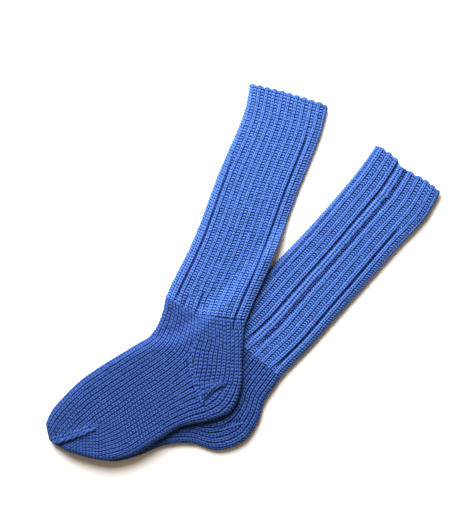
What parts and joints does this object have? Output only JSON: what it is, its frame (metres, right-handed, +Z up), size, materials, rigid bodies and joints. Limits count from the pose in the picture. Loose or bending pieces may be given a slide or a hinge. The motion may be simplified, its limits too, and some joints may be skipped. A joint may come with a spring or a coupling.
{
  "type": "pair of knitted knee socks laid flat",
  "caption": "Long knitted knee socks, a pair, with ribbed legs and plain heels and feet, laid flat and crossing over each other.",
  "frame": {"origin": "on the surface that the pair lies on, under the middle of the pair's bounding box", "axes": "+Z up from the surface, +X right and +Y up the laid-out pair as seen from straight above, cuffs towards +Y and toes towards -X and -Y"},
  "size_m": [0.4238, 0.4074, 0.0191],
  "materials": {
    "blue_yarn": "matte soft wool knit"
  },
  "bodies": {
    "root": {"upper_sock": "blue_yarn", "lower_sock": "blue_yarn"}
  },
  "joints": []
}
